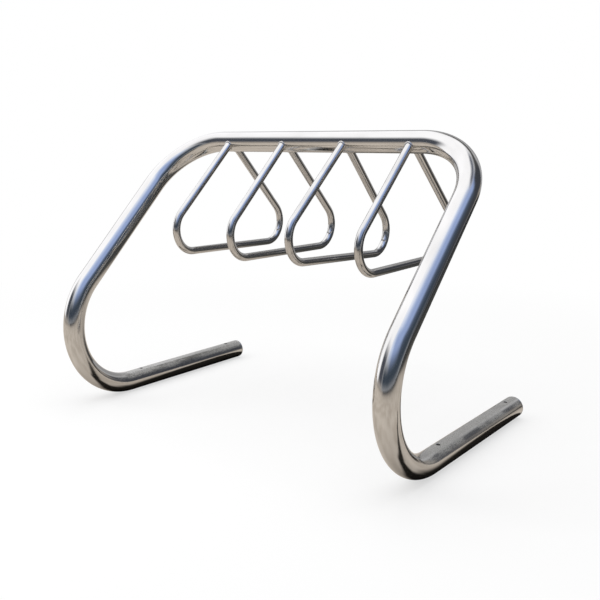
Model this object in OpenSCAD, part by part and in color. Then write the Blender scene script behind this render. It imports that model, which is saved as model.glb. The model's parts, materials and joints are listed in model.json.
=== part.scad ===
// Bicycle hanger rack: one bent stainless tube stands on two feet and carries four triangular
// hangers of round bar, welded under its rail. Lengths are millimetres and angles are degrees.
// +X runs along the rail to the right as seen from the front, +Y runs back along the feet and
// +Z is up. The origin is on the ground, in the middle of the footprint.

/* [Frame tube] */
// Outer diameter of the frame tube
tube_d = 60.3; // [50:0.1:76]
// Wall thickness of the frame tube
tube_wall = 3; // [2:0.1:5]
// Distance between the middles of the two feet
rack_w = 1065; // [900:1:1400]
// Height of the rail's middle above the feet's middle
rail_rise = 745; // [640:1:1000]
// Slope of the legs above the ground
leg_slope = 45; // [43:1:60]
// Length of a foot, from the point where the lines of foot and leg cross to the tube's end
foot_run = 985; // [960:1:1300]
// Bend radius at the tube's middle, where a foot turns up into its leg
foot_bend_r = 200; // [140:1:212]
// Bend radius at the tube's middle, where a leg turns into the rail
rail_bend_r = 185; // [120:1:198]

/* [Fixing holes] */
// Diameter of the holes drilled down through each foot
hole_d = 12; // [8:0.5:16]
// Distance between the two holes of a foot
hole_spacing = 400; // [200:1:430]
// Distance from the back hole to the tube's end
hole_from_end = 55; // [40:1:85]

/* [End caps] */
// Thickness of the cap's head, which closes the tube's end
cap_head = 6; // [4:0.5:12]
// Rounding of the head's outer edge
cap_edge_r = 2; // [0.5:0.1:3]
// Length of the spigot inside the tube
cap_spigot = 25; // [10:1:30]
// Wall thickness of the spigot
cap_wall = 2; // [1:0.1:4]
// Clearance between the spigot and the bore of the tube
cap_gap = 0.3; // [0.1:0.05:0.6]

/* [Hangers] */
// Diameter of the hangers' round bar
rod_d = 22; // [14:0.5:24]
// Distance from the first and the last hanger to the bends at the rail's ends
hanger_from_bend = 32.5; // [25:0.5:120]
// Distance of the set of hangers from the rail's middle, to the right
hanger_shift = 5; // [-10:1:12]
// Distance from the point where a hanger's legs would meet down to its bottom bar
hanger_drop = 324; // [220:1:420]
// Distance between the points where a hanger's legs and bottom bar would cross
hanger_spread = 678; // [480:1:760]
// Bend radius at the bar's middle, at a hanger's two lower corners
hanger_bend_r = 66; // [40:1:100]
// Distance of the point where a hanger's legs would meet, ahead of the rail's middle
hanger_ahead = 10; // [2:1:12]
// Distance of the same point above the rail's middle
hanger_above = 3; // [0:1:6]
// How far each hanger tips about the rail, a bottom bar that swings forward being negative
hanger_tips = [-1, -0.5, -2.5, 1]; // [-3:0.5:3]
// How far each hanger turns about a plumb line, seen from above
hanger_turns = [0.5, 0, 0, -1.5]; // [-3:0.5:3]
// Size of the weld beads between hangers and rail
weld_size = 3.5; // [2:0.1:6]

/* [Hidden] */
$fn = 96;
steel = [0.80, 0.80, 0.79];
weld_steel = [0.70, 0.70, 0.69];
left = -1;
right = 1;
front = -1;
back = 1;
// How much smaller the tube and the bars are in diameter along their bends
bend_thinning = 0.3;
// How far the end of a bend runs into the straight stretch
bend_tuck = 0.5;
// How far cutting shapes run past what they cut
overrun = 5;
// From the crossing of foot and leg lines to either end of the bend between them
foot_bend_reach = foot_bend_r * tan((180 - leg_slope) / 2);
rail_run = rack_w - 2 * rail_bend_r;
hanger_count = len(hanger_tips);
hanger_pitch = (rail_run - 2 * hanger_from_bend) / (hanger_count - 1);
leg_run = rail_rise / sin(leg_slope);
rail_back = rail_rise / tan(leg_slope);
bore_d = tube_d - 2 * tube_wall;
// The footprint runs from the front of the foot bends to the back of the end caps
footprint_front = foot_bend_reach - foot_bend_r - tube_d / 2;
footprint_back = foot_run + cap_head;
// Slope of a hanger's legs, and from its corner point to either end of the bend there
hanger_slope = atan2(hanger_drop, hanger_spread / 2);
hanger_bend_reach = hanger_bend_r * tan((180 - hanger_slope) / 2);
hanger_leg_run = norm([hanger_drop, hanger_spread / 2]) - hanger_bend_reach;
bottom_bar_half = hanger_spread / 2 - hanger_bend_reach;

// Moves the rack from the crossing of foot and leg lines onto its origin
module stand() {
    translate([0, -(footprint_front + footprint_back) / 2, tube_d / 2])
        children();
}

// A straight stretch along +Y
module straight(run, d) {
    rotate([-90, 0, 0])
        cylinder(h = run, d = d);
}

// A bend about the local Z axis, from +X round towards +Y. Bending draws the tube a little
// thinner, so each end of the bend is tucked into the straight stretch that it meets.
module bend(radius, sweep, d) {
    tuck_angle = bend_tuck / radius * 180 / PI;
    rotate([0, 0, -tuck_angle])
        rotate_extrude(angle = sweep + 2 * tuck_angle)
            translate([radius, 0])
                circle(d = d - bend_thinning);
}

// Turns a shape drawn in the XY plane up into the YZ plane
module upright() {
    rotate([90, 0, 90])
        children();
}

// The whole run of the frame tube as a solid of one diameter, its feet lengthened by extra
module frame_run(d, extra = 0) {
    for (side = [left, right]) {
        translate([side * rack_w / 2, foot_bend_reach, 0])
            straight(foot_run - foot_bend_reach + extra, d);
        translate([side * rack_w / 2, foot_bend_reach, foot_bend_r])
            upright()
                rotate([0, 0, 90 + leg_slope])
                    bend(foot_bend_r, 180 - leg_slope, d);
    }
    rotate([leg_slope, 0, 0]) {
        for (side = [0, 1])
            mirror([side, 0, 0]) {
                translate([rack_w / 2, foot_bend_reach, 0])
                    straight(leg_run - foot_bend_reach - rail_bend_r, d);
                translate([rack_w / 2 - rail_bend_r, leg_run - rail_bend_r, 0])
                    bend(rail_bend_r, 90, d);
            }
        translate([-rack_w / 2 + rail_bend_r, leg_run, 0])
            rotate([0, 90, 0])
                cylinder(h = rail_run, d = d);
    }
}

module frame_tube() {
    color(steel)
        stand()
            difference() {
                frame_run(tube_d);
                frame_run(bore_d, overrun);
                for (side = [left, right], from_end = [hole_from_end, hole_from_end + hole_spacing])
                    translate([side * rack_w / 2, foot_run - from_end, 0])
                        cylinder(h = tube_d + 2 * overrun, d = hole_d, center = true);
            }
}

// A round head against the tube's end and a hollow spigot inside its bore
module end_cap(side) {
    head_r = tube_d / 2;
    spigot_r = bore_d / 2 - cap_gap;
    color(steel)
        stand()
            translate([side * rack_w / 2, foot_run, 0])
                rotate([-90, 0, 0])
                    rotate_extrude() {
                        square([head_r - cap_edge_r, cap_head]);
                        square([head_r, cap_head - cap_edge_r]);
                        intersection() {
                            translate([head_r - cap_edge_r, cap_head - cap_edge_r])
                                circle(r = cap_edge_r);
                            square([head_r, cap_head]);
                        }
                        translate([spigot_r - cap_wall, -cap_spigot])
                            square([cap_wall, cap_spigot]);
                    }
}

// The straight rail about its own middle, as a solid of one diameter
module rail_core(d) {
    translate([0, rail_back, rail_rise])
        rotate([0, 90, 0])
            cylinder(h = rail_run, d = d, center = true);
}

// Puts a loop on the rail, at the point where its legs would meet
module hang(i) {
    from_middle = (i - (hanger_count + 1) / 2) * hanger_pitch;
    translate([hanger_shift + from_middle, rail_back - hanger_ahead, rail_rise + hanger_above])
        rotate([hanger_tips[i - 1], 0, hanger_turns[i - 1]])
            children();
}

// One straight leg of a hanger, from the point where the legs would meet down to its bend
module hanger_leg(side, d) {
    rotate([-side * (90 + hanger_slope), 0, 0])
        cylinder(h = hanger_leg_run, d = d);
}

// A rounded triangle of bar in the YZ plane, whose two legs are cut to sit on the rail
module hanger(i) {
    color(steel)
        stand()
            difference() {
                hang(i) {
                    translate([0, -bottom_bar_half, -hanger_drop])
                        straight(2 * bottom_bar_half, rod_d);
                    for (side = [front, back]) {
                        hanger_leg(side, rod_d);
                        translate([0, side * bottom_bar_half, hanger_bend_r - hanger_drop])
                            mirror([0, side < 0 ? 1 : 0, 0])
                                upright()
                                    rotate([0, 0, -90])
                                        bend(hanger_bend_r, 180 - hanger_slope, rod_d);
                    }
                }
                rail_core(tube_d);
            }
}

// A bead of weld metal round the end of a hanger's leg, on the surface of the rail
module hanger_weld(i, side) {
    color(weld_steel)
        stand()
            difference() {
                intersection() {
                    rail_core(tube_d + 2 * weld_size);
                    hang(i)
                        hanger_leg(side, rod_d + 2 * weld_size);
                }
                rail_core(tube_d);
                hang(i)
                    hanger_leg(side, rod_d);
            }
}

frame_tube();
end_cap(left);  // end_cap_left
end_cap(right);  // end_cap_right
hanger(1);  // hanger_1
hanger(2);  // hanger_2
hanger(3);  // hanger_3
hanger(4);  // hanger_4
hanger_weld(1, front);  // hanger_1_front_weld
hanger_weld(1, back);  // hanger_1_back_weld
hanger_weld(2, front);  // hanger_2_front_weld
hanger_weld(2, back);  // hanger_2_back_weld
hanger_weld(3, front);  // hanger_3_front_weld
hanger_weld(3, back);  // hanger_3_back_weld
hanger_weld(4, front);  // hanger_4_front_weld
hanger_weld(4, back);  // hanger_4_back_weld
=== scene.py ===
import json
import math
from functools import partial

import bpy
import numpy as np
from mathutils import Matrix, Vector

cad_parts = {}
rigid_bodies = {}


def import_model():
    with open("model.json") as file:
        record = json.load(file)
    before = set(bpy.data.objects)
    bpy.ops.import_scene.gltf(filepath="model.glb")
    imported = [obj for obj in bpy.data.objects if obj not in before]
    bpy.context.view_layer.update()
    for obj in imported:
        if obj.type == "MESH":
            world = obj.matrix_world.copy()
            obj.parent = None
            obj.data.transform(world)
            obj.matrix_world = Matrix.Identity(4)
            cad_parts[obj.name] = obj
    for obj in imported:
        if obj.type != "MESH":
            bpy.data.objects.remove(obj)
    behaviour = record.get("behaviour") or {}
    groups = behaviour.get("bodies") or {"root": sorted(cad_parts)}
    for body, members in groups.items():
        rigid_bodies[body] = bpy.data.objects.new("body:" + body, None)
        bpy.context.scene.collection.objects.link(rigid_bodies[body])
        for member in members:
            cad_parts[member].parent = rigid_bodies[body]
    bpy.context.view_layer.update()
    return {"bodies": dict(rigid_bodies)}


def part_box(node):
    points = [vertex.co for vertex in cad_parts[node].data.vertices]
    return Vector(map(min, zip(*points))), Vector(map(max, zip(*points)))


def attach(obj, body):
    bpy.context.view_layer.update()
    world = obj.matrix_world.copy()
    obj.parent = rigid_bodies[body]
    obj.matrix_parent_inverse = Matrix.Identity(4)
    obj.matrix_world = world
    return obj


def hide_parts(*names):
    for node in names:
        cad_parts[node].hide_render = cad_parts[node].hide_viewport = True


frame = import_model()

# Bicycle hanger rack in polished stainless steel. Lengths are metres, +X runs along the rail to the
# right, +Y runs back along the feet and +Z is up; the floor is z = 0.

bodyName = next(iter(frame["bodies"]))
scene = bpy.context.scene


# Camera, where the photograph was taken from
viewPoint = {
    "place": (1.34855, -1.70999, 0.77011),
    "turn": (78.693, -0.161, 37.423),  # degrees about X, Y and Z
    "lens": 46.946,
    "sensor": 36.0,
    "clipEnd": 200.0,
}


def setCamera(spec):
    camera = bpy.data.objects.new("viewCamera", bpy.data.cameras.new("viewCamera"))
    scene.collection.objects.link(camera)
    camera.location = spec["place"]
    camera.rotation_euler = [math.radians(angle) for angle in spec["turn"]]
    camera.data.sensor_width = spec["sensor"]
    camera.data.sensor_fit = "HORIZONTAL"
    camera.data.lens = spec["lens"]
    camera.data.clip_end = spec["clipEnd"]
    scene.camera = camera


setCamera(viewPoint)
print("camera set")


# Sizes of the rack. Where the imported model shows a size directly, it is read from the frame.
capLow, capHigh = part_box("end_cap_right")
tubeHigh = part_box("frame_tube")[1]
rack = {
    "tubeRadius": (capHigh.x - capLow.x) / 2,
    "wall": 0.003,
    "footX": (capHigh.x + capLow.x) / 2,
    "footEndY": tubeHigh.y,
    "railTop": tubeHigh.z,
    "legSlope": math.radians(45),
    "footRun": 0.985,
    "footBendRadius": 0.200,
    "railBendRadius": 0.185,
    "around": 96,  # points round the tube
    "bendStep": math.radians(2.0),
    "straightStep": 0.025,
    "endBreak": 0.0005,  # broken edge at the tube's two ends
    "endRow": 0.002,  # a row of points just inside each end keeps that edge narrow
    "holeRadius": 0.006,
    "holeBreak": 0.0004,  # broken edge of the fixing holes
    "holesFromEnd": (0.055, 0.455),
    "holeCells": 6,  # half the side of the square of cells that a hole takes out of the grid
    "holeRings": 5,
}
railRise = rack["railTop"] - 2 * rack["tubeRadius"]
railZ = rack["railTop"] - rack["tubeRadius"]
railY = rack["footEndY"] - rack["footRun"] + railRise / math.tan(rack["legSlope"])


def unit(vector):
    return np.asarray(vector, float) / np.linalg.norm(vector)


def bentRun(start, heading, up, moves, straightStep, bendStep):
    # Centreline of a bent tube. A straight move is a number: places lie evenly along the heading. A bend is
    # (radius, sweep, inward): place = start + inward*R*(1 - cos a) + heading*R*sin a, and the heading and the
    # two side vectors turn by a about heading x inward, so the tube never twists about itself.
    heading, up = unit(heading), unit(up)
    side = np.cross(heading, up)
    place = np.asarray(start, float)
    places, headings, ups, sides, lengths, distance = [], [], [], [], [], 0.0
    for move in moves:
        if isinstance(move, tuple):
            radius, sweep, inward = move[0], move[1], unit(move[2])
            angles = np.linspace(0, sweep, max(int(math.ceil(sweep / bendStep)), 2) + 1)[:, None]
            turnAxis = np.cross(heading, inward)
            runPlaces = place + inward * radius * (1 - np.cos(angles)) + heading * radius * np.sin(angles)

            def turned(vector):
                along = turnAxis * np.dot(turnAxis, vector)
                across = vector - along
                return along + across * np.cos(angles) + np.cross(turnAxis, across) * np.sin(angles)

            runHeadings, runUps, runSides = turned(heading), turned(up), turned(side)
            runLengths = distance + radius * angles[:, 0]
        else:
            steps = np.linspace(0, move, max(int(math.ceil(move / straightStep)), 1) + 1)[:, None]
            runPlaces = place + heading * steps
            runHeadings, runUps, runSides = (
                np.repeat(line[None], len(steps), 0) for line in (heading, up, side))
            runLengths = distance + steps[:, 0]
        first = 0 if not places else 1  # the first place repeats the last one of the move before
        places.append(runPlaces[first:])
        headings.append(runHeadings[first:])
        ups.append(runUps[first:])
        sides.append(runSides[first:])
        lengths.append(runLengths[first:])
        place, heading, up, side = runPlaces[-1], runHeadings[-1], runUps[-1], runSides[-1]
        distance = runLengths[-1]
    return tuple(np.concatenate(part) for part in (places, headings, ups, sides, lengths))


def runAt(run, wanted):
    # The same run read at other distances: each part is interpolated on distance along the tube.
    lengths = run[4]
    read = [np.stack([np.interp(wanted, lengths, column) for column in part.T], 1) for part in run[:4]]
    read[1:] = [part / np.linalg.norm(part, axis=1, keepdims=True) for part in read[1:]]
    return (*read, wanted)


def ringAngles(count):
    # evenly spaced round a circle, starting at 0
    return np.arange(count) * 2 * math.pi / count


def vectors(x, y, z):
    # a list of points from three arrays that fit each other
    return np.stack(np.broadcast_arrays(x, y, z), -1).reshape(-1, 3)


def gridFaces(rows, columns):
    # Quads of a grid numbered row by row, whose last column joins its first.
    row, column = np.meshgrid(np.arange(rows - 1), np.arange(columns), indexing="ij")
    following = (column + 1) % columns
    here = row * columns
    above = here + columns
    return np.stack([here + column, here + following, above + following, above + column], -1).reshape(-1, 4)


def tipped(rows, columns):
    # The same grid where the first and the last row lie on the axis, so each of them is one point.
    faces = gridFaces(rows, columns)
    last = (rows - 1) * columns
    return np.where(faces < columns, 0, np.where(faces >= last, last, faces))


sharpAngle = math.radians(32)  # edges that turn by more than this stay crisp


def makePiece(name, points, faces, grain, material, replaced):
    # One closed mesh from points and quads. grain is where each point lies on the straightened bar, for the
    # finish: first along the bar, then across it. Points that no face uses and doubled corners are dropped.
    faces = np.asarray(faces)
    used, numbers = np.unique(faces, return_inverse=True)
    faces = numbers.reshape(faces.shape)
    corners = [tuple(dict.fromkeys(face)) for face in faces.tolist()]
    mesh = bpy.data.meshes.new(name)
    mesh.from_pydata(np.asarray(points)[used].tolist(), [], [face for face in corners if len(face) > 2])
    lines = mesh.attributes.new("grain", "FLOAT_VECTOR", "POINT")
    lines.data.foreach_set("vector", np.asarray(grain, np.float32)[used].ravel())
    mesh.polygons.foreach_set("use_smooth", np.ones(len(mesh.polygons), bool))
    mesh.set_sharp_from_angle(angle=sharpAngle)
    mesh.materials.append(material)
    mesh.validate()
    piece = bpy.data.objects.new(name, mesh)
    scene.collection.objects.link(piece)
    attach(piece, bodyName)
    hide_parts(*replaced)


# Finishes
def newMaterial(name):
    material = bpy.data.materials.new(name)
    material.use_nodes = True
    material.node_tree.nodes.clear()
    return material, material.node_tree.nodes, material.node_tree.links


def mathOf(nodes, links, operation, first, second=None):
    # one Math node, whose inputs are numbers or other nodes' outputs
    node = nodes.new("ShaderNodeMath")
    node.operation = operation
    for socket, value in zip(node.inputs, (first, second)):
        if isinstance(value, (int, float)):
            socket.default_value = value
        elif value is not None:
            links.new(value, socket)
    return node.outputs["Value"]


def fadeOf(nodes, links, value, low, high, start=0.0):
    # start up to low, then smoothly up to 1 at high
    node = nodes.new("ShaderNodeMapRange")
    node.interpolation_type = "SMOOTHSTEP"
    node.inputs["From Min"].default_value, node.inputs["From Max"].default_value = low, high
    node.inputs["To Min"].default_value = start
    links.new(value, node.inputs["Value"])
    return node.outputs["Result"]


def colourMix(nodes, links, share, first, second):
    # one Mix node, whose two colours are tuples or other nodes' outputs
    node = nodes.new("ShaderNodeMix")
    node.data_type = "RGBA"
    links.new(share, node.inputs["Factor"])
    for socket, value in ((node.inputs["A"], first), (node.inputs["B"], second)):
        if isinstance(value, tuple):
            socket.default_value = (*value, 1)
        else:
            links.new(value, socket)
    return node.outputs["Result"]


def nodeTools(nodes, links):
    # the three functions above, ready for one material's nodes
    return [partial(tool, nodes, links) for tool in (mathOf, fadeOf, colourMix)]


# What all the steel shares: each pattern's detail and roughness, and the bumps' heights
steelNoise = {
    "lines": (3.0, 0.6),
    "smears": (4.0, 0.55),
    "waves": (1.0, 0.4),
    "patches": (3.0, 0.6),
    "specks": (2.0, 0.6),
    "reach": (0.3, 0.7),  # nearly all of a pattern's values lie between these
    "lineHeight": 0.0001,
    "waveHeight": 0.001,
}


def steelFinish(name, spec):
    # Polished stainless steel: fine lines along the bar and a soft waviness, in roughness and bump. With a
    # film, patches of matt grey dust lie on top of the feet.
    material, nodes, links = newMaterial(name)
    calc, fade, blend = nodeTools(nodes, links)
    output = nodes.new("ShaderNodeOutputMaterial")
    steel = nodes.new("ShaderNodeBsdfPrincipled")
    steel.inputs["Metallic"].default_value = 1.0
    links.new(steel.outputs["BSDF"], output.inputs["Surface"])
    grain = nodes.new("ShaderNodeAttribute")
    grain.attribute_name = "grain"

    def noise(scale, kind):
        place = nodes.new("ShaderNodeMapping")
        place.inputs["Scale"].default_value = scale
        links.new(grain.outputs["Vector"], place.inputs["Vector"])
        pattern = nodes.new("ShaderNodeTexNoise")
        pattern.inputs["Scale"].default_value = 1.0
        pattern.inputs["Detail"].default_value, pattern.inputs["Roughness"].default_value = steelNoise[kind]
        links.new(place.outputs["Vector"], pattern.inputs["Vector"])
        return pattern.outputs["Fac"]

    def spread(source, low, high):
        ranged = nodes.new("ShaderNodeMapRange")
        ranged.inputs["From Min"].default_value, ranged.inputs["From Max"].default_value = steelNoise["reach"]
        ranged.inputs["To Min"].default_value, ranged.inputs["To Max"].default_value = low, high
        links.new(source, ranged.inputs["Value"])
        return ranged.outputs["Result"]

    polishLines = noise(spec["lineScale"], "lines")
    smears = noise(spec["smearScale"], "smears")
    waves = noise(spec["waveScale"], "waves")
    roughness = calc("ADD", spread(polishLines, *spec["lineRoughness"]),
                     spread(smears, *spec["smearRoughness"]))
    colour = blend(spread(smears, 0.0, 1.0), spec["colour"], spec["dullColour"])
    if "film" in spec:
        film = spec["film"]
        place = nodes.new("ShaderNodeTexCoord")
        split = nodes.new("ShaderNodeSeparateXYZ")
        links.new(place.outputs["Object"], split.inputs["Vector"])
        above = fade(split.outputs["Z"], *film["lowest"])
        below = calc("SUBTRACT", 1.0, fade(split.outputs["Z"], *film["highest"]))
        behind = fade(split.outputs["Y"], *film["front"])
        onTop = calc("MULTIPLY", calc("MULTIPLY", above, below), behind)
        patches = fade(noise(film["patchScale"], "patches"), *film["patchReach"])
        specks = fade(noise(film["speckScale"], "specks"), *film["speckReach"])
        # amount = (patches * patchShare + evenShare) * onTop * (specks * speckShare + 1 - speckShare)
        patches = calc("ADD", calc("MULTIPLY", patches, film["patchShare"]), film["evenShare"])
        specks = calc("ADD", calc("MULTIPLY", specks, film["speckShare"]), 1.0 - film["speckShare"])
        amount = calc("MULTIPLY", calc("MULTIPLY", patches, onTop), specks)
        roughness = calc("ADD", roughness, calc("MULTIPLY", amount, film["roughness"]))
        colour = blend(amount, colour, film["colour"])
        links.new(calc("SUBTRACT", 1.0, amount), steel.inputs["Metallic"])
    links.new(roughness, steel.inputs["Roughness"])
    links.new(colour, steel.inputs["Base Color"])

    lineBump = nodes.new("ShaderNodeBump")
    lineBump.inputs["Strength"].default_value = spec["lineBump"]
    lineBump.inputs["Distance"].default_value = steelNoise["lineHeight"]
    links.new(polishLines, lineBump.inputs["Height"])
    waveBump = nodes.new("ShaderNodeBump")
    waveBump.inputs["Strength"].default_value = spec["waveBump"]
    waveBump.inputs["Distance"].default_value = steelNoise["waveHeight"]
    links.new(waves, waveBump.inputs["Height"])
    links.new(lineBump.outputs["Normal"], waveBump.inputs["Normal"])
    links.new(waveBump.outputs["Normal"], steel.inputs["Normal"])
    return material


tubeSteel = steelFinish("polishedTubeSteel", {
    "colour": (0.66, 0.65, 0.63),
    "dullColour": (0.58, 0.57, 0.55),
    "lineScale": (6.0, 1500.0, 1500.0),
    "smearScale": (9.0, 30.0, 30.0),
    "waveScale": (14.0, 22.0, 22.0),
    "lineRoughness": (0.08, 0.12),
    "smearRoughness": (0.0, 0.04),
    "lineBump": 0.05,
    "waveBump": 0.03,
    "film": {
        "colour": (0.24, 0.24, 0.23),
        "lowest": (0.040, 0.054),  # height where the dust begins
        "highest": (0.062, 0.110),  # height where it ends, as the feet bend up
        "front": (-0.24, -0.12),  # and where it begins, behind the foot bends
        "patchScale": (14.0, 30.0, 30.0),
        "patchReach": (0.36, 0.68),
        "speckScale": (160.0, 260.0, 260.0),
        "speckReach": (0.35, 0.60),
        "patchShare": 0.60,
        "evenShare": 0.12,
        "speckShare": 0.45,
        "roughness": 0.35,
    },
})
hangerSteel = steelFinish("polishedHangerSteel", {
    "colour": (0.64, 0.63, 0.61),
    "dullColour": (0.54, 0.53, 0.51),
    "lineScale": (10.0, 1800.0, 1800.0),
    "smearScale": (14.0, 60.0, 60.0),
    "waveScale": (30.0, 50.0, 50.0),
    "lineRoughness": (0.10, 0.14),
    "smearRoughness": (0.0, 0.04),
    "lineBump": 0.02,
    "waveBump": 0.03,
})
capSteel = steelFinish("turnedCapSteel", {
    "colour": (0.62, 0.61, 0.59),
    "dullColour": (0.52, 0.51, 0.49),
    "lineScale": (10.0, 2500.0, 2500.0),
    "smearScale": (40.0, 40.0, 40.0),
    "waveScale": (30.0, 30.0, 30.0),
    "lineRoughness": (0.20, 0.30),
    "smearRoughness": (0.0, 0.06),
    "lineBump": 0.10,
    "waveBump": 0.02,
})
weldSteel = steelFinish("weldSteel", {
    "colour": (0.56, 0.54, 0.51),
    "dullColour": (0.42, 0.40, 0.37),
    "lineScale": (300.0, 300.0, 300.0),
    "smearScale": (120.0, 120.0, 120.0),
    "waveScale": (200.0, 200.0, 200.0),
    "lineRoughness": (0.18, 0.28),
    "smearRoughness": (0.0, 0.08),
    "lineBump": 0.10,
    "waveBump": 0.05,
})
print("finishes made")


# Frame tube: foot, foot bend, leg, rail bend, rail and down again
def frameRun(spec):
    # The tube's centreline, from the right foot's end up over the rail to the left foot's end.
    slope = spec["legSlope"]
    footReach = spec["footBendRadius"] * math.tan((math.pi - slope) / 2)
    footStraight = spec["footRun"] - footReach
    legStraight = railRise / math.sin(slope) - footReach - spec["railBendRadius"]
    railStraight = 2 * (spec["footX"] - spec["railBendRadius"])
    upTheLeg = np.array([0, math.cos(slope), math.sin(slope)])
    footBend = (spec["footBendRadius"], math.pi - slope)
    railBend = (spec["railBendRadius"], math.pi / 2)
    moves = [
        footStraight,
        (*footBend, (0, 0, 1)),
        legStraight,
        (*railBend, (-1, 0, 0)),
        railStraight,
        (*railBend, -upTheLeg),
        legStraight,
        (*footBend, (0, math.sin(slope), -math.cos(slope))),
        footStraight,
    ]
    start = (spec["footX"], spec["footEndY"], spec["tubeRadius"])
    return bentRun(start, (0, -1, 0), (0, 0, 1), moves, spec["straightStep"], spec["bendStep"])


def holedWall(run, radius, spec, holePlaces, holeRadius):
    # One wall of the tube: point = centre + radius*(cos t*up + sin t*side) on a grid of distance and angle t.
    # A square of cells is left out at each hole, and rings of points run from the square's edge to the hole,
    # which is a circle seen from above: across = radius*sin t, along = distance from the hole's middle.
    around, cells, rings = spec["around"], spec["holeCells"], spec["holeRings"]
    places, headings, ups, sides, lengths = run
    rows = len(lengths)
    angles = ringAngles(around)
    ring = np.cos(angles)[None, :, None] * ups[:, None] + np.sin(angles)[None, :, None] * sides[:, None]
    points = (places[:, None] + radius * ring).reshape(-1, 3)
    grain = vectors(lengths[:, None], radius * np.cos(angles)[None], radius * np.sin(angles)[None])
    keep = np.ones((rows - 1, around), bool)
    allPoints, allGrain, allFaces, rims = [points], [grain], [], []
    count = len(points)
    ramp = np.arange(-cells, cells)
    level = np.full(2 * cells, cells)
    for distance, turn in holePlaces:
        middle = int(np.argmin(np.abs(lengths - distance)))
        first = int(round(turn / (2 * math.pi) * around))
        keep[np.ix_(middle + ramp, (first + ramp) % around)] = False
        # the square's edge, walked round once
        walkRow = np.concatenate([ramp, level, -ramp, -level])
        walkColumn = np.concatenate([-level, ramp, level, -ramp])
        edge = (middle + walkRow) * around + (first + walkColumn) % around
        edgeAlong = lengths[middle + walkRow] - distance
        edgeTurn = walkColumn * 2 * math.pi / around
        bearing = np.arctan2(edgeAlong, radius * np.sin(edgeTurn))
        rimAlong = holeRadius * np.sin(bearing)
        rimTurn = np.arcsin(holeRadius * np.cos(bearing) / radius)
        share = (np.arange(1, rings + 1) / rings)[:, None]
        along = distance + edgeAlong + share * (rimAlong - edgeAlong)
        turned = turn + edgeTurn + share * (rimTurn - edgeTurn)
        centre = places[middle] + headings[middle] * (along - lengths[middle])[..., None]
        out = np.cos(turned)[..., None] * ups[middle] + np.sin(turned)[..., None] * sides[middle]
        allPoints.append((centre + radius * out).reshape(-1, 3))
        allGrain.append(vectors(along, radius * np.cos(turned), radius * np.sin(turned)))
        walk = len(edge)
        ladder = np.concatenate([edge[None], count + np.arange(rings * walk).reshape(rings, walk)])
        following = np.roll(ladder, -1, axis=1)
        allFaces.append(np.stack([ladder[:-1], following[:-1], following[1:], ladder[1:]], -1).reshape(-1, 4))
        rims.append(ladder[-1])
        count += rings * walk
    allFaces.insert(0, gridFaces(rows, around).reshape(rows - 1, around, 4)[keep])
    return np.concatenate(allPoints), np.concatenate(allGrain), np.concatenate(allFaces), rims


def frameTube(spec):
    # The outer and the inner wall have the same grid, so they join point to point at the ends and the holes.
    run = frameRun(spec)
    total = run[4][-1]
    cellSide = spec["tubeRadius"] * 2 * math.pi / spec["around"]
    holeSpots = [place for fromEnd in spec["holesFromEnd"] for place in (fromEnd, total - fromEnd)]
    patches = [spot + cellSide * np.arange(-spec["holeCells"], spec["holeCells"] + 1) for spot in holeSpots]
    clear = cellSide * (spec["holeCells"] + 0.5)  # other rows stay half a cell away from those of a hole
    plain = run[4][np.all([np.abs(run[4] - spot) > clear for spot in holeSpots], axis=0)]
    edgeRows = [spec["endBreak"], spec["endRow"], total - spec["endRow"], total - spec["endBreak"]]
    distances = np.unique(np.round(np.concatenate([plain, *patches, edgeRows]), 7))  # no row comes twice
    run = runAt(run, distances)
    holePlaces = [(spot, turn) for spot in holeSpots for turn in (0.0, math.pi)]
    outer, outerGrain, outerFaces, outerRims = holedWall(
        run, spec["tubeRadius"], spec, holePlaces, spec["holeRadius"] + spec["holeBreak"])
    inner, innerGrain, innerFaces, innerRims = holedWall(
        run, spec["tubeRadius"] - spec["wall"], spec, holePlaces, spec["holeRadius"])
    around, rows = spec["around"], len(distances)
    # the broken edge at each end: the first and the last ring draw in a little
    for row in (0, rows - 1):
        ends = slice(row * around, (row + 1) * around)
        outer[ends] = run[0][row] + (outer[ends] - run[0][row]) * (1 - spec["endBreak"] / spec["tubeRadius"])
    points, grain = [outer, inner], [outerGrain, innerGrain]
    faces = [outerFaces, innerFaces[:, ::-1] + len(outer)]
    count = len(outer) + len(inner)
    for row, flip in ((0, False), (rows - 1, True)):
        ringOut = row * around + np.arange(around)
        ringIn = ringOut + len(outer)
        quads = np.stack([ringOut, ringIn, np.roll(ringIn, -1), np.roll(ringOut, -1)], -1)
        faces.append(quads[:, ::-1] if flip else quads)
    for rimOut, rimIn in zip(outerRims, innerRims):
        # a ring just inside the outer rim makes the broken edge of the hole
        outward = unit(np.round(outer[rimOut].mean(0) - inner[rimIn].mean(0), 6))
        depth = (outer[rimOut] - inner[rimIn]) @ outward
        points.append(inner[rimIn] + outward * (depth - spec["holeBreak"])[:, None])
        grain.append(innerGrain[rimIn])
        ringDeep = count + np.arange(len(rimOut))
        for upper, lower in ((rimOut, ringDeep), (ringDeep, rimIn + len(outer))):
            faces.append(np.stack([upper, np.roll(upper, -1), np.roll(lower, -1), lower], -1))
        count += len(rimOut)
    makePiece("frameTube", np.concatenate(points), np.concatenate(faces), np.concatenate(grain),
              tubeSteel, ["frame_tube"])


frameTube(rack)
print("frame tube made")


# End caps: a turned head against the tube's end and a spigot inside it
cap = {
    "head": 0.006,
    "edgeRadius": 0.002,
    "crown": 0.0004,  # how far the head's middle stands above its rim
    "spigotLength": 0.025,
    "spigotWall": 0.002,
    "spigotGap": 0.0003,
    "backBreak": 0.0004,
    "around": 96,
    "facePoints": 14,  # points from the head's middle to its rounded edge
    "edgePoints": 9,  # points round that edge
}


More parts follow.
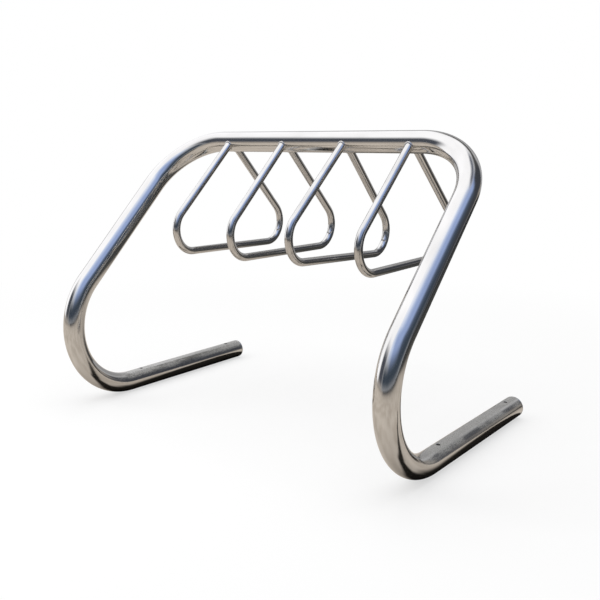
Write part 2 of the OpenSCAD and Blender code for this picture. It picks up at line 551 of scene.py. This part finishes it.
def capProfile(spec):
    # Half section of the cap as (radius, depth behind the tube's end): crowned face, rounded rim, flat back,
    # then the spigot's outer and inner wall and the hollow's floor.
    outer = rack["tubeRadius"]
    spigot = outer - rack["wall"] - spec["spigotGap"]
    flat = outer - spec["edgeRadius"]
    faceRadii = np.linspace(0.0, flat, spec["facePoints"])
    face = np.stack([faceRadii, spec["head"] - spec["crown"] * (faceRadii / flat) ** 2], 1)
    turn = np.linspace(0, math.pi / 2, spec["edgePoints"])[1:]
    rimTop = spec["head"] - spec["crown"]
    rim = np.stack([flat + spec["edgeRadius"] * np.sin(turn),
                    rimTop - spec["edgeRadius"] * (1 - np.cos(turn))], 1)
    back = np.array([
        (outer, spec["backBreak"]),
        (outer - spec["backBreak"], 0.0),
        (spigot, 0.0),
        (spigot, -spec["spigotLength"] + spec["backBreak"]),
        (spigot - spec["backBreak"], -spec["spigotLength"]),
        (spigot - spec["spigotWall"], -spec["spigotLength"]),
        (spigot - spec["spigotWall"], 0.0),
        (0.0, 0.0),
    ])
    return np.concatenate([face, rim, back])


def endCap(name, middleX, spec, nodeName):
    # A surface of revolution about the foot's line: point = (x + r*sin t, end + depth, z + r*cos t).
    profile = capProfile(spec)
    angles = ringAngles(spec["around"])
    radius, depth = profile[:, :1], profile[:, 1:]
    points = vectors(middleX + radius * np.sin(angles), rack["footEndY"] + depth,
                     rack["tubeRadius"] + radius * np.cos(angles))
    grain = vectors(0 * angles[None], radius, depth)
    makePiece(name, points, tipped(len(profile), spec["around"]), grain, capSteel, [nodeName])


endCap("endCapLeft", -rack["footX"], cap, "end_cap_left")
endCap("endCapRight", rack["footX"], cap, "end_cap_right")
print("end caps made")


# Hangers: a rounded triangle of bar whose legs are cut to sit on the rail
hanger = {
    "barRadius": 0.011,
    "drop": 0.324,
    "spread": 0.678,
    "bendRadius": 0.066,
    "ahead": 0.010,
    "above": 0.003,
    "fromBend": 0.0325,
    "shift": 0.005,
    "tips": (-1.0, -0.5, -2.5, 1.0),
    "turns": (0.5, 0.0, 0.0, -1.5),
    "around": 48,
    "bendStep": math.radians(3.0),
    "straightStep": 0.02,
    "sunk": 0.0001,  # how far the cut ends run into the rail
    "endRings": 5,
    "crowding": 1.3,  # the power that draws the legs' rows towards the rail
}
hangerCount = len(hanger["tips"])
railHalf = rack["footX"] - rack["railBendRadius"]
hangerPitch = 2 * (railHalf - hanger["fromBend"]) / (hangerCount - 1)


def hangerPlace(number):
    # Where a hanger's legs would meet, and how the loop tips about the rail and turns about a plumb line.
    fromMiddle = (number - (hangerCount + 1) / 2) * hangerPitch
    meeting = Vector((hanger["shift"] + fromMiddle, railY - hanger["ahead"], railZ + hanger["above"]))
    turn = Matrix.Rotation(math.radians(hanger["turns"][number - 1]), 4, "Z")
    tip = Matrix.Rotation(math.radians(hanger["tips"][number - 1]), 4, "X")
    return np.array(Matrix.Translation(meeting) @ turn @ tip)


def hangerShape(spec):
    # the legs' slope, how far a bend reaches from its corner, and the straight length of a leg
    slope = math.atan2(spec["drop"], spec["spread"] / 2)
    reach = spec["bendRadius"] * math.tan((math.pi - slope) / 2)
    return slope, reach, math.hypot(spec["drop"], spec["spread"] / 2) - reach


def hangerRun(number, spec):
    # The loop's centreline: down the front leg, back along the bottom bar and up the back leg.
    slope, reach, leg = hangerShape(spec)
    bottom = spec["spread"] - 2 * reach
    bend = (spec["bendRadius"], math.pi - slope)
    moves = [leg, (*bend, (0, math.sin(slope), -math.cos(slope))), bottom, (*bend, (0, 0, 1)), leg]
    down = (0, -math.cos(slope), -math.sin(slope))
    run = bentRun((0, 0, 0), down, (1, 0, 0), moves, spec["straightStep"], spec["bendStep"])
    place = hangerPlace(number)
    turned = [part @ place[:3, :3].T for part in run[:4]]
    turned[0] = turned[0] + place[:3, 3]
    return (*turned, run[4])


def railMeeting(start, heading):
    # How far along heading each line leaves the rail's surface: the larger root of
    # |start + distance*heading - rail axis| = tube radius, measured square to the rail, which comes to
    # square*distance^2 + 2*half*distance + rest = 0.
    offset = start[..., 1:] - np.array([railY, railZ])
    slant = heading[1:]
    square = slant @ slant
    half = offset @ slant
    rest = (offset ** 2).sum(-1) - rack["tubeRadius"] ** 2
    return (-half + np.sqrt(half * half - square * rest)) / square


def barRing(up, side, radius, angles):
    # r*(cos t*up + sin t*side)
    return radius * (np.cos(angles)[:, None] * up + np.sin(angles)[:, None] * side)


def hangerLoop(number, spec):
    # point = centre + r*(cos t*up + sin t*side). Along both straight legs the points are spread again between
    # the rail's surface, found line by line, and the bend, and rings of smaller radius close the cut ends.
    places, headings, ups, sides, lengths = hangerRun(number, spec)
    angles = ringAngles(spec["around"])
    leg = hangerShape(spec)[2]
    inLeg = int(np.searchsorted(lengths, leg - 1e-6))  # the row at the front leg's lower end
    middle = slice(inLeg, len(lengths) - inLeg)
    rings = barRing(ups[middle][:, None], sides[middle][:, None], spec["barRadius"], angles)
    body = places[middle][:, None] + rings.reshape(len(rings), -1, 3)
    bodyAlong = np.repeat(lengths[middle][:, None], spec["around"], 1)

    def cutLeg(index, sign, radius, shares):
        # sign is 1 for the leg that the run starts with, and -1 for the one it ends with
        heading = headings[index] * sign
        start = places[index] + barRing(ups[index], sides[index], radius, angles)
        meet = railMeeting(start, heading) - spec["sunk"]
        distance = meet + shares[:, None] * (leg - meet)
        along = distance if sign > 0 else lengths[-1] - distance
        return start + distance[..., None] * heading, along

    spacing = np.linspace(0, 1, int(leg / spec["straightStep"]) + 1) ** spec["crowding"]
    shrink = spec["barRadius"] * np.arange(spec["endRings"]) / spec["endRings"]
    here = np.zeros(1)
    stack = [
        *(cutLeg(0, 1, radius, here) for radius in shrink),
        cutLeg(0, 1, spec["barRadius"], spacing[:-1]),
        (body, bodyAlong),
        cutLeg(-1, -1, spec["barRadius"], spacing[:-1][::-1]),
        *(cutLeg(-1, -1, radius, here) for radius in shrink[::-1]),
    ]
    points, along = (np.concatenate(part) for part in zip(*stack))
    grain = vectors(along + number, spec["barRadius"] * np.cos(angles), spec["barRadius"] * np.sin(angles))
    makePiece(f"hanger{number}", points.reshape(-1, 3), tipped(len(points), spec["around"]), grain,
              hangerSteel, [f"hanger_{number}"])


# Weld beads, a closed ring round each end of each hanger
weld = {
    "onLeg": 0.0030,  # width of the bead on the leg
    "onRail": 0.0030,
    "bulge": 0.0006,
    "ripples": 26,
    "rippleHeight": 0.00010,
    "rippleLag": 1.2,  # radians by which a ripple trails at the rail
    "around": 208,
    "across": 9,
    "buried": 0.0004,
}


def weldBead(number, sideName, spec):
    # A closed ring of weld round the end of a leg. Across the bead the point runs from the toe on the leg to
    # the toe on the rail, pushed out by bulge*sin(pi*s), and the push swells and sinks once for each ripple.
    # Behind, the ring closes through the corner of leg and rail, a little inside both.
    places, headings, ups, sides = hangerRun(number, hanger)[:4]
    index, sign = (0, 1) if sideName == "front" else (-1, -1)
    heading = headings[index] * sign
    angles = ringAngles(spec["around"])
    out = barRing(ups[index], sides[index], 1.0, angles)
    start = places[index] + out * hanger["barRadius"]
    corner = start + railMeeting(start, heading)[:, None] * heading
    railOut = corner.copy()
    railOut[:, 0] = 0
    railOut[:, 1:] = (corner[:, 1:] - [railY, railZ]) / rack["tubeRadius"]
    level = out - (out * railOut).sum(1, keepdims=True) * railOut
    level /= np.linalg.norm(level, axis=1, keepdims=True)
    legToe = corner + heading * spec["onLeg"]
    railToe = corner + level * spec["onRail"]
    span = railToe[:, 1:] - [railY, railZ]
    fromAxis = np.linalg.norm(span, axis=1, keepdims=True)
    railToe[:, 1:] = [railY, railZ] + span * rack["tubeRadius"] / fromAxis
    push = out + railOut
    push /= np.linalg.norm(push, axis=1, keepdims=True)
    share = np.linspace(0, 1, spec["across"])[:, None, None]
    ripple = np.sin(angles * spec["ripples"] + spec["rippleLag"] * share[..., 0])
    swell = spec["bulge"] + spec["rippleHeight"] * ripple
    bead = legToe + share * (railToe - legToe) + np.sin(math.pi * share) * swell[..., None] * push
    root = corner - push * spec["buried"]
    points = np.concatenate([bead, root[None]]).reshape(-1, 3)
    firstRow = np.arange(spec["around"])
    lastRow = spec["across"] * spec["around"] + firstRow
    closing = np.stack([lastRow, np.roll(lastRow, -1), np.roll(firstRow, -1), firstRow], -1)
    faces = np.concatenate([gridFaces(spec["across"] + 1, spec["around"]), closing])
    if sign < 0:
        faces = faces[:, ::-1]
    makePiece(f"hanger{number}{sideName.capitalize()}Weld", points, faces, points, weldSteel,
              [f"hanger_{number}_{sideName}_weld"])


for hangerNumber in range(1, hangerCount + 1):
    hangerLoop(hangerNumber, hanger)
    for weldSide in ("front", "back"):
        weldBead(hangerNumber, weldSide, weld)
print("hangers and welds made")


# Floor and light
studio = {
    "floorHalf": 30.0,
    "floorColour": (0.86, 0.86, 0.86),
    "floorWhite": 0.60,  # share of plain white in what the camera sees of the floor
    "whiteReach": (0.6, 2.6),  # distances from the rack's middle between which it grows to all white
    "softboxPower": 110.0,
    "softboxSize": 4.5,
    "softboxHeight": 4.0,
    "keyPower": 60.0,
    "keySize": 2.5,
    "keyPlace": (-2.8, -2.6, 3.2),
    "aim": (0, 0, 0.35),  # both lamps point at this place
    "worldLevel": 0.55,
}


def plainObject(name, points, faces, material):
    mesh = bpy.data.meshes.new(name)
    mesh.from_pydata(points, [], faces)
    mesh.materials.append(material)
    made = bpy.data.objects.new(name, mesh)
    scene.collection.objects.link(made)
    return made


def seenDirectly(nodes, links):
    # 1 for camera, glossy and transmission rays, so that metal shows the same white as the camera
    path = nodes.new("ShaderNodeLightPath")
    seen = path.outputs["Is Camera Ray"]
    for ray in ("Is Glossy Ray", "Is Transmission Ray"):
        seen = mathOf(nodes, links, "ADD", seen, path.outputs[ray])
        seen.node.use_clamp = True
    return seen


def makeFloor(spec):
    material, nodes, links = newMaterial("paleFloor")
    calc, fade = nodeTools(nodes, links)[:2]
    output = nodes.new("ShaderNodeOutputMaterial")
    matt = nodes.new("ShaderNodeBsdfDiffuse")
    matt.inputs["Color"].default_value = (*spec["floorColour"], 1)
    white = nodes.new("ShaderNodeEmission")
    white.inputs["Strength"].default_value = 1.0
    mix = nodes.new("ShaderNodeMixShader")
    # the share of plain white grows from the rack outwards, so the floor runs into the background
    place = nodes.new("ShaderNodeTexCoord")
    reach = nodes.new("ShaderNodeVectorMath")
    reach.operation = "LENGTH"
    links.new(place.outputs["Object"], reach.inputs[0])
    outward = fade(reach.outputs["Value"], *spec["whiteReach"], spec["floorWhite"])
    links.new(calc("MULTIPLY", seenDirectly(nodes, links), outward), mix.inputs["Fac"])
    links.new(matt.outputs["BSDF"], mix.inputs[1])
    links.new(white.outputs["Emission"], mix.inputs[2])
    links.new(mix.outputs["Shader"], output.inputs["Surface"])
    half = spec["floorHalf"]
    corners = [(-half, -half, 0), (half, -half, 0), (half, half, 0), (-half, half, 0)]
    floor = plainObject("floor", corners, [(0, 1, 2, 3)], material)


def makeWorld(spec):
    # even light from all round, and plain white where it is seen directly
    world = bpy.data.worlds.new("studio")
    scene.world = world
    world.use_nodes = True
    nodes, links = world.node_tree.nodes, world.node_tree.links
    nodes.clear()
    output = nodes.new("ShaderNodeOutputWorld")
    mix = nodes.new("ShaderNodeMixShader")
    links.new(seenDirectly(nodes, links), mix.inputs["Fac"])
    for number, strength in ((1, spec["worldLevel"]), (2, 1.0)):
        white = nodes.new("ShaderNodeBackground")
        white.inputs["Color"].default_value = (1, 1, 1, 1)
        white.inputs["Strength"].default_value = strength
        links.new(white.outputs["Background"], mix.inputs[number])
    links.new(mix.outputs["Shader"], output.inputs["Surface"])


def areaLamp(name, place, size, power):
    # a square lamp that the metal doesn't reflect
    lamp = bpy.data.objects.new(name, bpy.data.lights.new(name, "AREA"))
    scene.collection.objects.link(lamp)
    lamp.data.shape = "SQUARE"
    lamp.data.size = size
    lamp.data.energy = power
    lamp.location = place
    aim = Vector(studio["aim"]) - Vector(place)
    lamp.rotation_euler = aim.to_track_quat("-Z", "Y").to_euler()
    lamp.visible_glossy = False


makeFloor(studio)
makeWorld(studio)
overhead = (0, 0, studio["softboxHeight"])
areaLamp("overheadSoftbox", overhead, studio["softboxSize"], studio["softboxPower"])
areaLamp("keySoftbox", studio["keyPlace"], studio["keySize"], studio["keyPower"])
print("floor and lamps made")


# Studio surround, which only the metal sees: a ceiling of light, blue cards on the right, dark cards and
# flags behind and near the horizon, and a warm ground card, so that the polished steel has something to
# reflect
surround = {
    "radius": 9.0,
    "middle": 0.4,  # height that its elevations are measured from
    "ceiling": (1.51, 1.52, 1.58),
    "noiseScale": 3.0,
    "noiseDetail": 3.0,
    "wobble": 5.0,  # degrees by which the cards' edges waver
    "lowest": -3,  # elevation where the dome begins, just under the floor
    "around": 96,
    "upward": 47,  # rings of points from there to the top
}


def glossyOnly(stageObject):
    # seen in the metal's reflections and by no other ray
    stageObject.visible_camera = False
    stageObject.visible_diffuse = False
    stageObject.visible_transmission = False
    stageObject.visible_shadow = False
    stageObject.visible_volume_scatter = False


# Each card is one colour over a range of bearings, in degrees from +Y towards +X, and of elevations. A
# bearing is its middle, half its width and the softness of its edges; an elevation is its lower end, its
# upper end and the softness of its edges. A later card lies over the earlier ones.
cards = {
    "paleSideCard": {"colour": (0.90, 1.04, 1.36), "bearing": (140, 50, 14), "elevation": (26, 71, 9)},
    "blueSideCard": {"colour": (0.46, 0.60, 1.00), "bearing": (108, 58, 14), "elevation": (12, 62, 11)},
    "deepBlueCard": {"colour": (0.16, 0.21, 0.34), "bearing": (82, 28, 9), "elevation": (6, 36, 8)},
    "greyBackCard": {"colour": (0.40, 0.40, 0.41), "bearing": (-18, 30, 14), "elevation": (-8, 38, 8)},
    "darkBackCard": {"colour": (0.07, 0.075, 0.09), "bearing": (38, 26, 9), "elevation": (-8, 58, 10)},
    "slateBackCard": {"colour": (0.20, 0.22, 0.28), "bearing": (45, 42, 12), "elevation": (60, 78, 8)},
    "lowWarmCard": {"colour": (0.36, 0.33, 0.30), "bearing": (23, 10, 4), "elevation": (-12, 8, 4)},
    "horizonFlag": {"colour": (0.06, 0.08, 0.11), "bearing": (131, 71, 10), "elevation": (-8, 28, 16)},
    "railFlag": {"colour": (0.09, 0.10, 0.125), "bearing": (219, 20, 8), "elevation": (-8, 37, 12)},
    "farGroundCard": {"colour": (0.52, 0.48, 0.45), "bearing": (220, 24, 10), "elevation": (-12, 2, 4)},
    "outlineFlag": {"colour": (0.60, 0.60, 0.61), "bearing": (-62, 20, 8), "elevation": (-12, 18, 8)},
    "footTopFlag": {"colour": (0.10, 0.10, 0.10), "bearing": (0, 30, 8), "elevation": (38, 54, 5)},
}


def makeSurround(spec):
    material, nodes, links = newMaterial("studioSurround")
    calc, fade, blend = nodeTools(nodes, links)
    output = nodes.new("ShaderNodeOutputMaterial")
    glow = nodes.new("ShaderNodeEmission")
    glow.inputs["Strength"].default_value = 1.0
    links.new(glow.outputs["Emission"], output.inputs["Surface"])
    place = nodes.new("ShaderNodeTexCoord")
    shift = nodes.new("ShaderNodeVectorMath")
    shift.operation = "SUBTRACT"
    shift.inputs[1].default_value = (0, 0, spec["middle"])
    links.new(place.outputs["Object"], shift.inputs[0])
    direction = nodes.new("ShaderNodeVectorMath")
    direction.operation = "NORMALIZE"
    links.new(shift.outputs["Vector"], direction.inputs[0])
    split = nodes.new("ShaderNodeSeparateXYZ")
    links.new(direction.outputs["Vector"], split.inputs["Vector"])
    noise = nodes.new("ShaderNodeTexNoise")
    noise.inputs["Scale"].default_value = spec["noiseScale"]
    noise.inputs["Detail"].default_value = spec["noiseDetail"]
    links.new(direction.outputs["Vector"], noise.inputs["Vector"])
    wobble = calc("MULTIPLY", calc("SUBTRACT", noise.outputs["Fac"], 0.5), spec["wobble"])
    elevation = calc("MULTIPLY", calc("ARCSINE", split.outputs["Z"]), 180 / math.pi)
    elevation = calc("ADD", elevation, wobble)
    # how level the direction is; a hair over 1 keeps it above 0 straight up
    flat = calc("SQRT", calc("SUBTRACT", 1.0001, calc("POWER", split.outputs["Z"], 2.0)))

    colour = spec["ceiling"]
    for card in cards.values():
        middle, half, soft = card["bearing"]
        # cos(bearing - middle), from the direction's own X and Y
        facing = calc("ADD", calc("MULTIPLY", split.outputs["X"], math.sin(math.radians(middle))),
                      calc("MULTIPLY", split.outputs["Y"], math.cos(math.radians(middle))))
        away = calc("MULTIPLY", calc("ARCCOSINE", calc("DIVIDE", facing, flat)), 180 / math.pi)
        near = calc("SUBTRACT", 1.0, fade(away, half - soft, half + soft))
        low, high, soft = card["elevation"]
        over = fade(elevation, low - soft, low + soft)
        under = calc("SUBTRACT", 1.0, fade(elevation, high - soft, high + soft))
        share = calc("MULTIPLY", near, calc("MULTIPLY", over, under))
        colour = blend(share, colour, card["colour"])
    links.new(colour, glow.inputs["Color"])
    material.cycles.emission_sampling = "NONE"

    # the dome: x = R*cos e*sin a, y = R*cos e*cos a, z = middle + R*sin e
    bearings = ringAngles(spec["around"])
    heights = np.radians(np.linspace(spec["lowest"], 90, spec["upward"]))[:, None]
    points = vectors(spec["radius"] * np.cos(heights) * np.sin(bearings),
                     spec["radius"] * np.cos(heights) * np.cos(bearings),
                     spec["middle"] + spec["radius"] * np.sin(heights))
    faces = gridFaces(spec["upward"], spec["around"])
    glossyOnly(plainObject("studioSurround", points.tolist(), faces.tolist(), material))


groundCard = {
    "radius": 9.0,
    "around": 64,
    "lift": 0.0003,
    "colour": (0.68, 0.615, 0.55),
    "dullColour": (0.55, 0.49, 0.43),  # it is mottled, as paving is
    "mottleScale": 4.0,
    "mottleDetail": 2.0,
    "mottleReach": (0.38, 0.62),
    "farColour": (0.06, 0.065, 0.07),  # far ahead the ground falls into shade too
    "farReach": (1.6, 5.0),  # distances from the rack's middle
    "farSide": (-0.6, 0.6),  # but only on the right
    "footShade": (0.02, 0.018, 0.016),  # beside the feet the ground lies in their shade
    "shadeReach": (0.020, 0.075),  # distances from the feet's line
    "shadeBackEnd": 3.0,  # how much sooner it ends behind the feet
    "shadeGrowth": 0.08,  # how much further it reaches at the feet's back ends
    "shadeShift": 0.020,  # it lies this far to the right of the feet
    "shadeFront": -0.15,  # where the feet begin to rise from the ground
    # each leg's own shadow runs off to the right of its foot, through these places beside the foot's line
    "legShade": ((0.015, -0.17), (0.03, -0.235), (0.09, -0.285), (0.20, -0.24), (0.34, -0.13), (0.46, 0.06)),
    "legShadeReach": (0.016, 0.044),  # half its width, dark and then fading
    "backColour": (0.07, 0.07, 0.068),  # behind the rack the ground falls into shade
    "backReach": (0.45, 0.80),  # distances behind the rack's middle
    "backSide": (-0.95, -0.50),  # but not on the left
}


def makeGroundCard(spec):
    material, nodes, links = newMaterial("groundCard")
    calc, fade, blend = nodeTools(nodes, links)
    output = nodes.new("ShaderNodeOutputMaterial")
    matt = nodes.new("ShaderNodeBsdfDiffuse")
    place = nodes.new("ShaderNodeTexCoord")
    split = nodes.new("ShaderNodeSeparateXYZ")
    links.new(place.outputs["Object"], split.inputs["Vector"])

    def length(first, second):
        # sqrt(first^2 + second^2)
        return calc("SQRT", calc("ADD", calc("POWER", first, 2.0), calc("POWER", second, 2.0)))

    # distance from the nearer foot: across its line, and past the ends of its stretch
    onRight = calc("GREATER_THAN", split.outputs["X"], 0.0)
    footLine = calc("ADD", calc("MULTIPLY", onRight, 2 * rack["footX"]), -rack["footX"] + spec["shadeShift"])
    across = calc("SUBTRACT", split.outputs["X"], footLine)
    middleY = (rack["footEndY"] + spec["shadeFront"]) / 2
    halfY = (rack["footEndY"] - spec["shadeFront"]) / 2
    fromMiddle = calc("ABSOLUTE", calc("SUBTRACT", split.outputs["Y"], middleY))
    past = calc("MAXIMUM", calc("SUBTRACT", fromMiddle, halfY), 0.0)
    atBack = calc("GREATER_THAN", split.outputs["Y"], middleY)
    past = calc("MULTIPLY", past, calc("ADD", calc("MULTIPLY", atBack, spec["shadeBackEnd"]), 1.0))
    backward = fade(split.outputs["Y"], spec["shadeFront"], rack["footEndY"])
    distance = calc("SUBTRACT", length(across, past), calc("MULTIPLY", backward, spec["shadeGrowth"]))
    alongLeg = calc("ADD", across, spec["shadeShift"])

    def fromStretch(start, end):
        # distance from a straight stretch: |place - start - t*(end - start)|, with t kept between 0 and 1
        stepX, stepY = end[0] - start[0], end[1] - start[1]
        offX = calc("SUBTRACT", alongLeg, start[0])
        offY = calc("SUBTRACT", split.outputs["Y"], start[1])
        dot = calc("ADD", calc("MULTIPLY", offX, stepX), calc("MULTIPLY", offY, stepY))
        share = calc("MINIMUM", calc("MAXIMUM", calc("DIVIDE", dot, stepX ** 2 + stepY ** 2), 0.0), 1.0)
        return length(calc("SUBTRACT", offX, calc("MULTIPLY", share, stepX)),
                      calc("SUBTRACT", offY, calc("MULTIPLY", share, stepY)))

    stretches = [fromStretch(start, end) for start, end in zip(spec["legShade"], spec["legShade"][1:])]
    legDistance = stretches[0]
    for stretch in stretches[1:]:
        legDistance = calc("MINIMUM", legDistance, stretch)
    mottle = nodes.new("ShaderNodeTexNoise")
    mottle.inputs["Scale"].default_value = spec["mottleScale"]
    mottle.inputs["Detail"].default_value = spec["mottleDetail"]
    links.new(place.outputs["Object"], mottle.inputs["Vector"])
    outward = nodes.new("ShaderNodeVectorMath")
    outward.operation = "LENGTH"
    links.new(place.outputs["Object"], outward.inputs[0])
    # painted in this order: mottled paving, then the shade behind, far ahead, and beside the feet and legs
    ground = blend(fade(mottle.outputs["Fac"], *spec["mottleReach"]), spec["dullColour"], spec["colour"])
    behind = calc("MULTIPLY", fade(split.outputs["Y"], *spec["backReach"]),
                  fade(split.outputs["X"], *spec["backSide"]))
    ground = blend(behind, ground, spec["backColour"])
    farAway = calc("MULTIPLY", fade(outward.outputs["Value"], *spec["farReach"]),
                   fade(split.outputs["X"], *spec["farSide"]))
    ground = blend(farAway, ground, spec["farColour"])
    lit = calc("MULTIPLY", fade(distance, *spec["shadeReach"]), fade(legDistance, *spec["legShadeReach"]))
    ground = blend(lit, spec["footShade"], ground)
    links.new(ground, matt.inputs["Color"])
    links.new(matt.outputs["BSDF"], output.inputs["Surface"])
    bearings = ringAngles(spec["around"])
    points = vectors(spec["radius"] * np.cos(bearings), spec["radius"] * np.sin(bearings), spec["lift"])
    glossyOnly(plainObject("groundCard", points.tolist(), [tuple(range(spec["around"]))], material))


makeSurround(surround)
makeGroundCard(groundCard)
print("studio surround made")

scene.view_settings.view_transform = "Standard"
